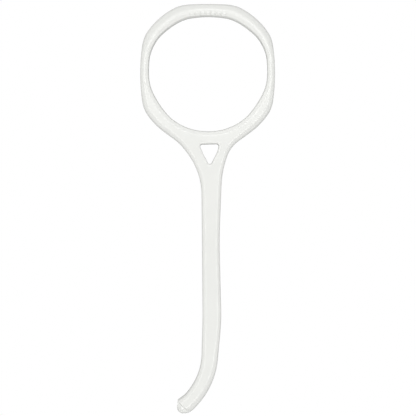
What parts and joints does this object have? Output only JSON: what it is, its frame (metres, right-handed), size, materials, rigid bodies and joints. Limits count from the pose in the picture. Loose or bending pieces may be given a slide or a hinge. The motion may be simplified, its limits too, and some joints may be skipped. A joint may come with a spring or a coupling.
{
  "type": "ring-handled removal hook",
  "caption": "One-piece moulded hand hook with a finger ring, a forked neck, a slim stem and a curved tip with a stepped lip for easing something loose.",
  "frame": {"origin": "centre of the finger ring, in the plane of the flat back face the part lies on", "axes": "+Y from the hook up through the stem to the ring's top flat, +Z out of the front face, +X to the right seen from the front, away from the hook's curl"},
  "size_m": [0.0348, 0.1061, 0.004],
  "materials": {
    "body": "glossy off-white moulded plastic"
  },
  "bodies": {
    "root": {"ring_hook_body": "body"}
  },
  "joints": []
}
